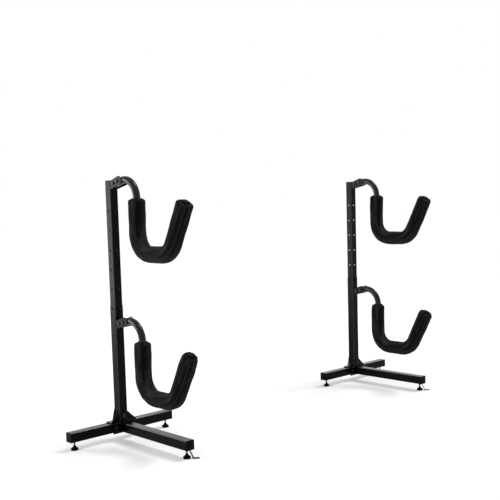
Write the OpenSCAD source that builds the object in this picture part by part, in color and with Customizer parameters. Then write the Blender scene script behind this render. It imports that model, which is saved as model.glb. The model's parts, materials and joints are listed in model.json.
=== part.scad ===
// Freestanding kayak rack: two separate stands, each with a T-shaped tube base,
// a telescoping square post and two padded J-shaped arms. Millimetres, +Z up.
// X runs along the stored boats, -Y is the front, and the origin is on the floor
// at the middle of the rack's footprint.

/* [Stands] */
// Distance between the two stands, post to post
stand_gap = 1928; // [900:1:2400]

/* [Base] */
// Width and height of the square base tube
base_tube = 50; // [44:0.5:60]
// Wall of the base tube
base_wall = 2; // [1.5:0.1:3]
// Outer corner radius of the square tubes
tube_corner = 4; // [3.5:0.1:6]
// Overall length of the cross beam with its end caps
beam_len = 640; // [480:1:900]
// Distance from the post's centre to the front end of the forward leg
leg_reach = 582; // [480:1:640]
// Gap between the floor and the underside of the base tubes
ground_gap = 45; // [42:0.5:60]
// Thickness of the end caps outside the tubes
cap_t = 3; // [2:0.1:5]
// How far the end caps reach into the tubes
cap_depth = 14; // [8:0.5:18]
// Width of the plate that joins the leg to the beam
flange_w = 140; // [120:1:180]
// Thickness of the plate that joins the leg to the beam
flange_t = 5; // [3:0.1:8]
// How far the joining plate hangs below the beam
flange_drop = 6; // [0:0.5:10]
// How far the joining plate's top edge stays below the beam's top
flange_low = 2; // [0.5:0.5:6]
// Distance of the flange bolts from the leg's centre line
flange_bolt_x = 52; // [46:0.5:56]

/* [Post foot] */
// Length of the base plate along the beam
plate_len = 156; // [130:1:200]
// Thickness of the base plate
plate_t = 6; // [4:0.1:8]
// Height of the flared gussets at the post's front edge
gusset_front_h = 46; // [35:0.5:70]
// Height of the flared gussets at the post's rear edge
gusset_rear_h = 62; // [40:0.5:90]
// Spread of the gussets past the post at the front
gusset_front_w = 50; // [30:0.5:52]
// Spread of the gussets past the post at the rear
gusset_rear_w = 16; // [8:0.5:30]
// Sheet thickness of the gussets
gusset_t = 3; // [2:0.1:4]
// Height of the stub tube that stands inside the post
stub_h = 56; // [40:0.5:75]
// Height of the post's through bolt above the base plate
foot_bolt_h = 24; // [18:0.5:30]
// Distance of the plate screws from the post's centre
plate_screw_x = 64; // [55:0.5:64]
// Distance of the plate screws behind the post's centre
plate_screw_y = 14; // [8:0.5:14]

/* [Posts] */
// Width of the lower post tube
post_tube = 50; // [46:0.5:50]
// Wall of both post tubes
post_wall = 1.5; // [1.2:0.1:1.8]
// Clearance between the two post tubes on each side
post_gap = 0.5; // [0.3:0.05:1]
// Height of the lower post's top above the floor
lower_top = 715; // [690:1:760]
// Height of the upper post's top above the floor
upper_top = 1365; // [1362:1:1450]
// How far the upper post reaches into the lower one
post_overlap = 234; // [200:1:240]
// Distance of the lock hole below the lower post's top
lock_drop = 17; // [14:0.5:22]
// Distance between the holes up the post
hole_pitch = 102; // [90:1:104]
// Diameter of the holes in the posts
post_hole_d = 11; // [10.5:0.1:13]
// How many hole rows the upper post has above the lock row
holes_above = 5; // [2:1:5]
// Thickness of the threaded boss for the lock screw
boss_t = 8; // [6:0.5:12]
// Diameter of the threaded boss
boss_d = 19; // [17:0.5:24]
// Diameter of the lock screw
lock_d = 10; // [8:0.5:10]
// Length of the lock screw
lock_len = 14; // [12:0.5:18]

/* [Arms] */
// Diameter of the arm tube
arm_d = 38; // [34:0.5:40]
// Wall of the arm tube
arm_wall = 1.8; // [1.4:0.1:2.5]
// Distance of the lower arm's root below the top of the lower post
lower_arm_drop = 95; // [80:1:140]
// Distance of the upper arm's root below the top of the upper post
upper_arm_drop = 18; // [18:0.5:80]
// Upward slope of the arm where it leaves the post
root_angle = 15; // [10:0.5:20]
// Straight length of the arm at its root
root_len = 64; // [60:0.5:90]
// Radius of every bend, to the tube's centre line
bend_r = 100; // [90:1:120]
// Straight length of the rear leg
rear_leg = 175; // [120:1:240]
// Straight length of the cradle's floor
cradle_floor = 94; // [60:1:160]
// Lean of the front leg away from the post
front_lean = 28; // [15:0.5:40]
// Straight length of the front leg
front_leg = 226; // [150:1:300]
// Thickness of the bracket's plates
bracket_t = 4; // [3:0.1:6]
// Height of the bracket's back plate
bracket_h = 42; // [40:0.5:60]
// How far the back plate's middle lies below the arm's root
bracket_sink = 3; // [1:0.5:5]
// Gap between the arm tube and each bracket ear
ear_gap = 0.3; // [0.2:0.05:0.8]
// Radius of the bracket ear's round nose
ear_r = 24; // [22:0.5:28]
// Distance of the ear's nose centre in front of the arm's root
ear_reach = 64; // [60:0.5:75]
// Distance of the first arm bolt from the arm's root
arm_bolt_a = 18; // [16:0.5:22]
// Distance of the second arm bolt from the arm's root
arm_bolt_b = 54; // [44:0.5:58]
// Thickness of the plug's head on the arm's tip
plug_t = 4; // [2:0.5:8]
// Length of the plug inside the arm tube
plug_depth = 18; // [10:0.5:30]
// Wall of the plug, and the slope of its head's edge
plug_wall = 3; // [1.5:0.1:5]

/* [Pads] */
// Outside diameter of the foam sleeves
pad_d = 90; // [70:1:96]
// Gap between the arm tube and the sleeve
pad_gap = 0.3; // [0.2:0.05:1]
// Bare tube left at the arm's tip
pad_setback = 5; // [2:0.5:20]
// Rounding of the sleeve's end edges
pad_edge = 14; // [4:0.5:15]

/* [Feet] */
// Distance of the beam's feet from the beam's ends
beam_foot_in = 32; // [24:0.5:60]
// Distance of the leg's foot from the leg's front end
leg_foot_in = 29; // [25:0.5:60]
// Diameter of the foot's base
foot_d = 38; // [28:0.5:44]
// Height of the foot's rounded base
foot_base_h = 12; // [6:0.5:14]
// Height of the whole moulded foot
foot_h = 24; // [18:0.5:25]
// Diameter of the foot's neck
foot_neck_d = 15; // [12:0.5:18]
// Diameter of the foot's stud
stud_d = 8; // [7:0.5:8]
// Width of the stud's nuts across flats
stud_af = 13; // [12:0.5:15]
// Height of the foot's neck
foot_neck_h = 6; // [3:0.5:9]
// Length of the stud above its weld nut
stud_past = 7; // [2:0.5:12]
// Width of the anchor strap
strap_w = 22; // [18:0.5:28]
// Thickness of the anchor strap
strap_t = 3; // [2:0.1:4]
// Length of the strap behind the stud that holds it
strap_heel = 11; // [8:0.5:14]
// Length of the strap from the stud to its first bend
strap_seat = 14; // [12:0.5:18]
// Length of the strap's end that lies on the floor
strap_toe = 30; // [26:0.5:50]
// Horizontal length of the strap's slope
strap_slope = 18; // [10:0.5:30]
// Diameter of the strap's floor hole
strap_hole_d = 8.5; // [6:0.1:10]
// Turn of the strap away from straight ahead
strap_turn = 45; // [0:1:60]

/* [Fasteners] */
// Size of the large bolts
big_bolt_d = 10; // [8:0.5:10]
// Width of the large bolts' heads across flats
big_af = 17; // [16:0.5:19]
// Size of the arm bolts
arm_bolt_d = 8; // [6:0.5:8]
// Width of the arm bolts' heads across flats
arm_af = 13; // [12:0.5:15]
// Size of the small screws
screw_d = 6; // [5:0.5:6]
// Clearance around a bolt's shank
bolt_gap = 0.5; // [0.2:0.05:0.8]
// Clearance in a threaded hole
thread_gap = 0.05; // [0.02:0.01:0.1]
// Length of thread past a nut
bolt_tail = 2; // [1:0.5:4]

/* [Hidden] */
$fn = 64;
arm_fn = 32;
e = 0.01;
steel = "#1d1d20";
plastic = "#101012";
foam = "#26262a";
bolt_black = "#2c2c30";

head_ratio = 0.64;
nut_ratio = 0.82;
washer_t = 1.6;
washer_rim = 2;
small_af = 1.7;
sink_gap = 0.5;
sunk = 0.2;
face_gap = 0.1;
cap_gap = 0.2;
cap_wall = 2;
root_gap = 0.6;
ear_tangent = 20;
ear_sink = 1;
lap = 1;
slim = 0.1;

base_top = ground_gap + base_tube;
post_foot = base_top + plate_t;
inner_tube = post_tube - 2 * (post_wall + post_gap);
inner_hole = inner_tube - 2 * post_wall;
lock_z = lower_top - lock_drop;
upper_foot = lower_top - post_overlap;
beam_tube_len = beam_len - 2 * cap_t;
leg_start = base_tube / 2 + flange_t;
leg_tube_end = leg_reach - cap_t;
stub = post_tube - 2 * (post_wall + post_gap);
foot_bolt_z = post_foot + foot_bolt_h;
flange_z = ground_gap - flange_drop;
flange_top = base_top - flange_low;
flange_bolt_z = ground_gap + base_tube / 2;
lock_tip = post_tube / 2 - post_wall;
foot_reach = leg_reach - leg_foot_in;
foot_x = beam_len / 2 - beam_foot_in;
stud_nut_h = stud_d * nut_ratio;

arm_root_f = post_tube / 2 + bracket_t + arm_d / 2 * sin(root_angle) + root_gap;
arm_bore = arm_d - 2 * arm_wall;
ear_in = arm_d / 2 + ear_gap;
ear_out = ear_in + bracket_t;
ear_f = arm_root_f + ear_reach;
ear_z = ear_reach * tan(root_angle) - ear_sink;
plate_front = post_tube / 2 + bracket_t;
bracket_low = -bracket_h / 2 - bracket_sink;

// The arm's centre line as a tube bender reads it: [straight length] or [radius, turn]
root_path = [
    [root_len],
    [bend_r, -(root_angle + 90)]
];
cradle_path = [
    [rear_leg],
    [bend_r, 90],
    [cradle_floor],
    [bend_r, 90 - front_lean],
    [front_leg]
];
arm_path = concat(root_path, cradle_path);
// The sleeve runs along the cradle, from the top of the rear leg to just short of the tip
first_bend = len(root_path) + 1;
tip_step = len(arm_path) - 1;

// State of the bender's pen: [forward, up, heading]
function step(p, s) =
    len(s) == 1
        ? [p[0] + s[0] * cos(p[2]), p[1] + s[0] * sin(p[2]), p[2]]
        : let (side = sign(s[1]), h = p[2] + s[1])
          [p[0] + side * s[0] * (sin(h) - sin(p[2])), p[1] - side * s[0] * (cos(h) - cos(p[2])), h];
function state(n) = n == 0 ? [arm_root_f, 0, root_angle] : step(state(n - 1), arm_path[n - 1]);
arm_tip = state(tip_step + 1);

pad_end = front_leg - pad_setback;
pad_end_f = arm_tip[0] - pad_setback * sin(front_lean);
pad_front = pad_end_f - pad_edge * sin(front_lean)
    + (pad_d / 2 - pad_edge) * cos(front_lean) + pad_edge;
tail_reach = washer_t + big_bolt_d * nut_ratio + bolt_tail;
rear_reach = max(base_tube, post_tube) / 2 + tail_reach;
shift_y = (pad_front - rear_reach) / 2;

stud_top = ground_gap + base_wall + stud_nut_h + stud_past;
strap_low = ground_gap - strap_t;

// ---- Placement ----

module left() {
    translate([-stand_gap / 2, shift_y, 0]) children();
}

module right() {
    translate([stand_gap / 2, shift_y, 0]) children();
}

// Arms are drawn from their root, below the top of the post that carries them
module lower_level() {
    translate([0, 0, lower_top - lower_arm_drop]) children();
}

module upper_level() {
    translate([0, 0, upper_top - upper_arm_drop]) children();
}

// Turns a shape drawn along +Z to point forward, to the front of the rack
module forward() {
    rotate([90, 0, 0]) children();
}

// Turns a shape drawn along +Z to point along +X
module sideways() {
    rotate([0, 90, 0]) children();
}

// ---- Shared shapes ----

module rounded_square(size, r) {
    union() {
        square([size - 2 * r, size], center = true);
        square([size, size - 2 * r], center = true);
        for (x = [-1, 1])
            for (y = [-1, 1])
                translate([x * (size / 2 - r), y * (size / 2 - r)]) circle(r);
    }
}

module square_tube(size, wall, length, corner) {
    linear_extrude(length) difference() {
        rounded_square(size, corner);
        rounded_square(size - 2 * wall, corner - wall);
    }
}

// Bolt along +Z: the head's underside is at 0 and the shank runs up from it
module hex_bolt(d, length, af) {
    translate([0, 0, -d * head_ratio]) cylinder(h = d * head_ratio, d = af / cos(30), $fn = 6);
    cylinder(h = length, d = d);
}

module hex_nut(d, af, gap = thread_gap) {
    difference() {
        cylinder(h = d * nut_ratio, d = af / cos(30), $fn = 6);
        translate([0, 0, -e]) cylinder(h = d * nut_ratio + 2 * e, d = d + 2 * gap);
    }
}

module washer(d, outer) {
    difference() {
        cylinder(h = washer_t, d = outer);
        translate([0, 0, -e]) cylinder(h = washer_t + 2 * e, d = d + 2 * thread_gap);
    }
}

// Bolt, two washers and nut through a stack of the given thickness, from 0 up
module bolt_set(d, af, stack) {
    translate([0, 0, -washer_t])
        hex_bolt(d, stack + 2 * washer_t + d * nut_ratio + bolt_tail, af);
    translate([0, 0, -washer_t]) washer(d, af + 2 * washer_rim);
    translate([0, 0, stack]) washer(d, af + 2 * washer_rim);
    translate([0, 0, stack + washer_t]) hex_nut(d, af);
}

module end_cap(size, wall) {
    inner = size - 2 * wall - 2 * cap_gap;
    difference() {
        union() {
            linear_extrude(cap_t) rounded_square(size, tube_corner);
            translate([0, 0, -cap_depth])
                linear_extrude(cap_depth + e) rounded_square(inner, tube_corner - wall);
        }
        translate([0, 0, -cap_depth - e])
            linear_extrude(cap_depth) rounded_square(inner - 2 * cap_wall, tube_corner - wall);
    }
}

// ---- Base ----

module foot_places() {
    for (x = [-foot_x, foot_x]) translate([x, 0, 0]) children();
    translate([0, -foot_reach, 0]) children();
}

module cross_beam() {
    color(steel) difference() {
        translate([-beam_tube_len / 2, 0, ground_gap + base_tube / 2])
            sideways() square_tube(base_tube, base_wall, beam_tube_len, tube_corner);
        for (x = [-foot_x, foot_x])
            translate([x, 0, ground_gap - e])
                cylinder(h = base_wall + 2 * e, d = stud_d + 2 * bolt_gap);
        for (x = [-flange_bolt_x, flange_bolt_x])
            translate([x, base_tube / 2 + e, flange_bolt_z])
                forward() cylinder(h = base_tube + 2 * e, d = big_bolt_d + 2 * bolt_gap);
        for (x = [-plate_screw_x, plate_screw_x])
            translate([x, plate_screw_y, base_top - base_wall - e])
                cylinder(h = base_wall + 2 * e, d = screw_d + 2 * bolt_gap);
    }
}

module forward_leg() {
    color(steel) difference() {
        translate([0, -leg_start, ground_gap + base_tube / 2])
            forward() square_tube(base_tube, base_wall, leg_tube_end - leg_start, tube_corner);
        translate([0, -foot_reach, ground_gap - e])
            cylinder(h = base_wall + 2 * e, d = stud_d + 2 * bolt_gap);
    }
}

module leg_flange() {
    color(steel) difference() {
        translate([-flange_w / 2, -leg_start, flange_z])
            cube([flange_w, flange_t, flange_top - flange_z]);
        for (x = [-flange_bolt_x, flange_bolt_x])
            translate([x, -base_tube / 2 + e, flange_bolt_z])
                forward() cylinder(h = flange_t + 2 * e, d = big_bolt_d + 2 * bolt_gap);
    }
}

module flange_bolts() {
    color(bolt_black)
        for (x = [-flange_bolt_x, flange_bolt_x])
            translate([x, -leg_start, flange_bolt_z])
                rotate([-90, 0, 0]) bolt_set(big_bolt_d, big_af, base_tube + flange_t);
}

module end_caps() {
    color(plastic) {
        for (side = [-1, 1])
            translate([side * beam_tube_len / 2, 0, ground_gap + base_tube / 2])
                rotate([0, side * 90, 0]) end_cap(base_tube, base_wall);
        translate([0, -leg_tube_end, ground_gap + base_tube / 2])
            forward() end_cap(base_tube, base_wall);
    }
}

// ---- Post foot ----

// One flared gusset on the +X side; inset makes the hollow inside it, whose sloped
// edges run that far inside the outer ones
module gusset_form(inset) {
    half = post_tube / 2;
    front_edge = norm([gusset_front_w, gusset_front_h]);
    rear_edge = norm([gusset_rear_w, gusset_rear_h]);
    hull() {
        translate([0, -half + inset, post_foot - e])
            cube([half + gusset_front_w - inset * front_edge / gusset_front_h, e, e]);
        translate([0, half - inset, post_foot - e])
            cube([half + gusset_rear_w - inset * rear_edge / gusset_rear_h, e, e]);
        translate([0, -half + inset, post_foot])
            cube([half + e, e, gusset_front_h - inset * front_edge / gusset_front_w]);
        translate([0, half - inset, post_foot])
            cube([half + e, e, gusset_rear_h - inset * rear_edge / gusset_rear_w]);
    }
}

module foot_bracket() {
    color(steel) difference() {
        union() {
            translate([-plate_len / 2, -base_tube / 2, base_top]) cube([plate_len, base_tube, plate_t]);
            for (side = [0, 1])
                mirror([side, 0, 0]) difference() {
                    gusset_form(0);
                    gusset_form(gusset_t);
                }
        }
        translate([-post_tube / 2 - face_gap, -base_tube / 2 - e, post_foot])
            cube([post_tube + 2 * face_gap, base_tube + 2 * e, gusset_rear_h + e]);
        for (x = [-plate_screw_x, plate_screw_x])
            translate([x, plate_screw_y, base_top - e]) {
                cylinder(h = plate_t + 2 * e, d = screw_d + 2 * bolt_gap);
                translate([0, 0, plate_t - screw_d / 2])
                    cylinder(h = screw_d / 2 + 2 * e, d1 = screw_d + 2 * sink_gap, d2 = 2 * screw_d + 2 * sink_gap);
            }
    }
    color(steel) difference() {
        translate([0, 0, post_foot - e]) square_tube(stub, post_wall, stub_h, tube_corner - post_wall);
        translate([0, stub, foot_bolt_z])
            forward() cylinder(h = 2 * stub, d = big_bolt_d + 2 * bolt_gap);
    }
}

// Countersunk screws with their nuts inside the beam
module foot_screws() {
    neck = post_foot - screw_d / 2 - sunk;
    nut_low = base_top - base_wall - screw_d * nut_ratio;
    color(bolt_black)
        for (x = [-plate_screw_x, plate_screw_x])
            translate([x, plate_screw_y, 0]) {
                translate([0, 0, neck]) cylinder(h = screw_d / 2, d1 = screw_d, d2 = 2 * screw_d);
                translate([0, 0, nut_low - bolt_tail])
                    cylinder(h = neck - nut_low + bolt_tail + e, d = screw_d);
                translate([0, 0, nut_low]) hex_nut(screw_d, small_af * screw_d);
            }
}

module foot_bolt() {
    color(bolt_black)
        translate([0, -post_tube / 2, foot_bolt_z])
            rotate([-90, 0, 0]) bolt_set(big_bolt_d, big_af, post_tube);
}

// ---- Posts ----

module lower_post() {
    color(steel) difference() {
        translate([0, 0, post_foot])
            square_tube(post_tube, post_wall, lower_top - post_foot, tube_corner);
        translate([-post_tube / 2 - e, 0, lock_z])
            sideways() cylinder(h = post_tube + 2 * e, d = post_hole_d);
        translate([0, -post_tube / 2 + post_wall + e, lock_z])
            forward() cylinder(h = post_wall + 2 * e, d = lock_d + 2 * thread_gap);
        translate([0, post_tube / 2 + e, foot_bolt_z])
            forward() cylinder(h = post_tube + 2 * e, d = big_bolt_d + 2 * bolt_gap);
    }
}

module lock_boss() {
    color(steel)
        translate([0, -post_tube / 2, lock_z]) forward() difference() {
            cylinder(h = boss_t, d = boss_d);
            translate([0, 0, -e]) cylinder(h = boss_t + 2 * e, d = lock_d + 2 * thread_gap);
        }
}

// Grub screw with a hex socket; its tip stops just short of the upper post
module lock_screw() {
    socket = lock_d / 2;
    color(bolt_black)
        translate([0, -lock_tip, lock_z]) forward() difference() {
            cylinder(h = lock_len, d = lock_d);
            translate([0, 0, lock_len - socket])
                cylinder(h = socket + e, d = socket / cos(30), $fn = 6);
        }
}

module upper_post() {
    reach = inner_tube + 2 * e;
    color(steel) difference() {
        translate([0, 0, upper_foot])
            square_tube(inner_tube, post_wall, upper_top - upper_foot, tube_corner - post_wall);
        for (i = [-1 : holes_above])
            translate([0, 0, lock_z + i * hole_pitch]) {
                translate([-reach / 2, 0, 0]) sideways() cylinder(h = reach, d = post_hole_d);
                translate([0, reach / 2, 0]) forward() cylinder(h = reach, d = post_hole_d);
            }
    }
}

module post_cap() {
    inner = inner_hole - 2 * cap_gap;
    color(plastic) translate([0, 0, upper_top]) {
        linear_extrude(cap_t) rounded_square(inner_tube, tube_corner - post_wall);
        translate([0, 0, -cap_depth])
            linear_extrude(cap_depth + e) rounded_square(inner, tube_corner - 2 * post_wall);
    }
}

// ---- Arms ----

// Draws a round bar or ring along steps [first, last] of the arm's centre line, each
// step in the frame where the one before it ended
module along_arm(first, last, outer, bore) {
    $fn = arm_fn;
    from_root() arm_step(0, first, last, outer, bore);
}

module from_root() {
    translate([0, -arm_root_f, 0]) rotate([90, 0, -90]) rotate([0, 0, root_angle]) children();
}

module arm_step(i, first, last, outer, bore) {
    s = arm_path[i];
    if (i >= first) one_step(s, outer, bore, i > first ? lap : 0, i < last ? lap : 0);
    if (i < last) past_step(s) arm_step(i + 1, first, last, outer, bore);
}

// A straight is a hair slimmer than a bend and laps into it at each joint
module one_step(s, outer, bore, lap_back, lap_ahead) {
    if (len(s) == 1)
        translate([-lap_back, 0, 0]) rotate([0, 90, 0])
            ring(s[0] + lap_back + lap_ahead, outer - 2 * slim, bore + 2 * slim);
    else
        translate([0, sign(s[1]) * s[0], 0]) rotate([0, 0, s[1] > 0 ? -90 : 90 + s[1]])
            rotate_extrude(angle = abs(s[1])) translate([s[0], 0]) difference() {
                circle(d = outer);
                circle(d = bore);
            }
}

// Moves to where a step of the centre line ends, turned to its heading there
module past_step(s) {
    if (len(s) == 1)
        translate([s[0], 0, 0]) children();
    else
        translate([0, sign(s[1]) * s[0], 0]) rotate([0, 0, s[1]])
            translate([0, -sign(s[1]) * s[0], 0]) children();
}

module ring(length, outer, bore) {
    difference() {
        cylinder(h = length, d = outer);
        translate([0, 0, -e]) cylinder(h = length + 2 * e, d = bore);
    }
}

// Puts a shape drawn along +Z at the start of step n, along the arm's heading there
module at_step(n) {
    from_root() to_step(0, n) rotate([0, 90, 0]) children();
}

module to_step(i, n) {
    if (i == n) children();
    else past_step(arm_path[i]) to_step(i + 1, n) children();
}

// Cross hole or bolt axis at a distance along the arm's root, from -X to +X
module at_arm_bolt(distance) {
    f = arm_root_f + distance * cos(root_angle);
    z = distance * sin(root_angle);
    translate([0, -f, z]) children();
}

module arm() {
    color(steel) difference() {
        along_arm(0, tip_step, arm_d, arm_bore);
        for (d = [arm_bolt_a, arm_bolt_b])
            at_arm_bolt(d) translate([-arm_d, 0, 0])
                sideways() cylinder(h = 2 * arm_d, d = arm_bolt_d + 2 * bolt_gap);
    }
}

module ear_profile() {
    translate([ear_f, ear_z]) circle(ear_r);
    polygon([
        [plate_front - bracket_t / 2, bracket_low],
        [plate_front - bracket_t / 2, bracket_low + bracket_h],
        [ear_f - ear_r * sin(ear_tangent), ear_z + ear_r * cos(ear_tangent)],
        [ear_f, ear_z],
        [ear_f + ear_r * sin(ear_tangent), ear_z - ear_r * cos(ear_tangent)]
    ]);
}

module arm_bracket() {
    color(steel) difference() {
        union() {
            translate([-ear_out, -plate_front, bracket_low])
                cube([2 * ear_out, bracket_t, bracket_h]);
            for (side = [0, 1])
                mirror([side, 0, 0]) translate([ear_in, 0, 0])
                    rotate([90, 0, 90]) mirror([1, 0, 0]) linear_extrude(bracket_t) ear_profile();
        }
        for (d = [arm_bolt_a, arm_bolt_b])
            at_arm_bolt(d) translate([-2 * ear_out, 0, 0])
                sideways() cylinder(h = 4 * ear_out, d = arm_bolt_d + 2 * bolt_gap);
    }
}

module arm_bolts() {
    color(bolt_black)
        for (d = [arm_bolt_a, arm_bolt_b])
            at_arm_bolt(d) translate([-ear_out, 0, 0])
                sideways() bolt_set(arm_bolt_d, arm_af, 2 * ear_out);
}

module arm_plug() {
    color(plastic) at_step(tip_step + 1) {
        cylinder(h = plug_t / 2, d = arm_d);
        translate([0, 0, plug_t / 2])
            cylinder(h = plug_t / 2, d1 = arm_d, d2 = arm_d - 2 * plug_wall);
        translate([0, 0, -plug_depth])
            ring(plug_depth + e, arm_bore - 2 * cap_gap, arm_bore - 2 * (cap_gap + plug_wall));
    }
}

// Foam sleeve from the top of the rear leg to just short of the tip, round at both ends
module arm_pad() {
    bore = arm_d + 2 * pad_gap;
    color(foam) {
        along_arm(first_bend, tip_step - 1, pad_d, bore);
        at_step(first_bend) mirror([0, 0, 1]) pad_end_form(rear_leg, bore);
        at_step(tip_step) pad_end_form(pad_end, bore);
    }
}

// Straight end of the sleeve, from the bend at 0 up to its rounded edge
module pad_end_form(length, bore) {
    wall = (pad_d - bore) / 2 - 2 * slim;
    $fn = arm_fn;
    rotate_extrude() translate([bore / 2 + slim, -lap]) {
        square([wall, length + lap - pad_edge]);
        square([wall - pad_edge, length + lap]);
        translate([wall - pad_edge, length + lap - pad_edge]) intersection() {
            circle(pad_edge);
            square(pad_edge);
        }
    }
}

// ---- Feet ----

// Weld nuts inside the tubes, and jam nuts under them; the front one also clamps the strap
module leveller_nuts() {
    color(bolt_black) {
        foot_places() translate([0, 0, ground_gap + base_wall]) hex_nut(stud_d, stud_af);
        for (x = [-foot_x, foot_x])
            translate([x, 0, ground_gap - stud_nut_h]) hex_nut(stud_d, stud_af);
        translate([0, -foot_reach, strap_low - stud_nut_h]) hex_nut(stud_d, stud_af);
    }
}

module leveller() {
    half = foot_d / 2;
    lip = foot_base_h / 2;
    color(plastic) rotate_extrude() {
        square([half - lip / 2, foot_base_h]);
        translate([0, lip / 2]) square([half, foot_base_h - lip]);
        for (z = [lip / 2, foot_base_h - lip / 2])
            translate([half - lip / 2, z]) circle(lip / 2);
        polygon([
            [0, foot_base_h - e],
            [half - lip, foot_base_h - e],
            [foot_neck_d / 2, foot_h - foot_neck_h],
            [foot_neck_d / 2, foot_h],
            [0, foot_h]
        ]);
        translate([0, foot_h - e]) square([stud_d / 2, stud_top - foot_h + e]);
    }
}

module beam_leveller(side) {
    translate([side * foot_x, 0, 0]) leveller();
}

module front_leveller() {
    translate([0, -foot_reach, 0]) leveller();
}

// Strap drawn along its own length in the plane of its bends, then turned outwards
module anchor_strap() {
    fold = strap_t / 2;
    toe_start = strap_seat + strap_slope;
    toe_end = toe_start + strap_toe;
    color(steel) translate([0, -foot_reach, 0]) rotate([0, 0, strap_turn]) difference() {
        translate([-strap_w / 2, 0, 0]) rotate([90, 0, 90]) mirror([1, 0, 0])
            linear_extrude(strap_w) polygon([
                [-strap_heel, ground_gap],
                [strap_seat, ground_gap],
                [toe_start + fold, strap_t],
                [toe_end, strap_t],
                [toe_end, 0],
                [toe_start - fold, 0],
                [strap_seat - fold, strap_low],
                [-strap_heel, strap_low]
            ]);
        translate([0, 0, strap_low - e])
            cylinder(h = strap_t + 2 * e, d = stud_d + 2 * bolt_gap);
        translate([0, -toe_end + strap_w / 2, -e])
            cylinder(h = strap_t + 2 * e, d = strap_hole_d);
    }
}

// ---- Left stand ----

left() cross_beam();  // left_cross_beam
left() forward_leg();  // left_forward_leg
left() leg_flange();  // left_leg_flange
left() flange_bolts();  // left_flange_bolts
left() end_caps();  // left_end_caps
left() foot_bracket();  // left_foot_bracket
left() foot_screws();  // left_foot_screws
left() foot_bolt();  // left_foot_bolt
left() lower_post();  // left_lower_post
left() lock_boss();  // left_lock_boss
left() lock_screw();  // left_lock_screw
left() lower_level() arm_bracket();  // left_lower_bracket
left() lower_level() arm();  // left_lower_arm
left() lower_level() arm_bolts();  // left_lower_arm_bolts
left() lower_level() arm_plug();  // left_lower_plug
left() lower_level() arm_pad();  // left_lower_pad
left() leveller_nuts();  // left_leveller_nuts
left() beam_leveller(-1);  // left_outer_leveller
left() beam_leveller(1);  // left_inner_leveller
left() front_leveller();  // left_front_leveller
left() anchor_strap();  // left_anchor_strap
left() upper_post();  // left_upper_post
left() post_cap();  // left_post_cap
left() upper_level() arm_bracket();  // left_upper_bracket
left() upper_level() arm();  // left_upper_arm
left() upper_level() arm_bolts();  // left_upper_arm_bolts
left() upper_level() arm_plug();  // left_upper_plug
left() upper_level() arm_pad();  // left_upper_pad

// ---- Right stand ----

right() cross_beam();  // right_cross_beam
right() forward_leg();  // right_forward_leg
right() leg_flange();  // right_leg_flange
right() flange_bolts();  // right_flange_bolts
right() end_caps();  // right_end_caps
right() foot_bracket();  // right_foot_bracket
right() foot_screws();  // right_foot_screws
right() foot_bolt();  // right_foot_bolt
right() lower_post();  // right_lower_post
right() lock_boss();  // right_lock_boss
right() lock_screw();  // right_lock_screw
right() lower_level() arm_bracket();  // right_lower_bracket
right() lower_level() arm();  // right_lower_arm
right() lower_level() arm_bolts();  // right_lower_arm_bolts
right() lower_level() arm_plug();  // right_lower_plug
right() lower_level() arm_pad();  // right_lower_pad
right() leveller_nuts();  // right_leveller_nuts
right() beam_leveller(-1);  // right_inner_leveller
right() beam_leveller(1);  // right_outer_leveller
right() front_leveller();  // right_front_leveller
right() anchor_strap();  // right_anchor_strap
right() upper_post();  // right_upper_post
right() post_cap();  // right_post_cap
right() upper_level() arm_bracket();  // right_upper_bracket
right() upper_level() arm();  // right_upper_arm
right() upper_level() arm_bolts();  // right_upper_arm_bolts
right() upper_level() arm_plug();  // right_upper_plug
right() upper_level() arm_pad();  // right_upper_pad
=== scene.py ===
# Looks of the freestanding kayak rack: powder coat, moulded feet and caps, bolts with
# their threads, weld beads, and the four padded sleeves. Metres, in the CAD frame.
import json
import math

import bmesh
import bpy
from mathutils import Matrix, Vector, noise
from mathutils.bvhtree import BVHTree
from mathutils.kdtree import KDTree


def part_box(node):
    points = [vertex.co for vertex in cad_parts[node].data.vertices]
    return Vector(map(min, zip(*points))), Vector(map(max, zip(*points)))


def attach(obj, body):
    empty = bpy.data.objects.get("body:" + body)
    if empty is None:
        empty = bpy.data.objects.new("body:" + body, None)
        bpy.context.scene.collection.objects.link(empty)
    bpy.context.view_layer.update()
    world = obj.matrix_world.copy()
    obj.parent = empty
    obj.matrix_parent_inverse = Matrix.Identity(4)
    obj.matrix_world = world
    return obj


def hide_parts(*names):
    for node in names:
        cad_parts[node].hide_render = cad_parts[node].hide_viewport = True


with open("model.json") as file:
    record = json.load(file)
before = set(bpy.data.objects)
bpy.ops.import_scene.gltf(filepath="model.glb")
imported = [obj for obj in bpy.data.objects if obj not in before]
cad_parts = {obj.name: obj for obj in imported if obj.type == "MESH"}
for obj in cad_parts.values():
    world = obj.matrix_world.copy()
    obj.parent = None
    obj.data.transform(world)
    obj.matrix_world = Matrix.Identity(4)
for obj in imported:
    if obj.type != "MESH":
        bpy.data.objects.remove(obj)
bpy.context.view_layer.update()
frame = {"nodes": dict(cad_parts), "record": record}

SIDES = ("left", "right")
LEVELS = ("lower", "upper")
MM = 0.001
TURN = 2 * math.pi

# ---- Real sizes that the source also has ----

SLEEVE_R = 45 * MM
ARM_R = 19 * MM
BEND_R = 100 * MM
REAR_LEG = 175 * MM
CRADLE_FLOOR = 94 * MM
FRONT_LEAN = math.radians(28)
FRONT_LEG = 226 * MM
SLEEVE_SETBACK = 5 * MM
PLUG_T = 4 * MM
PLUG_WALL = 3 * MM
GUSSET_FRONT = 50 * MM
GUSSET_REAR = 16 * MM
BACK_PLATE_H = 42 * MM
STRAP_T = 3 * MM
FOOT_H = 24 * MM
FOOT_BASE_H = 12 * MM
FOOT_NECK_R = 7.5 * MM

# Heights of heads and nuts as shares of the bolt's diameter
HEAD_RATIO = 0.64
NUT_RATIO = 0.82

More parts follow.
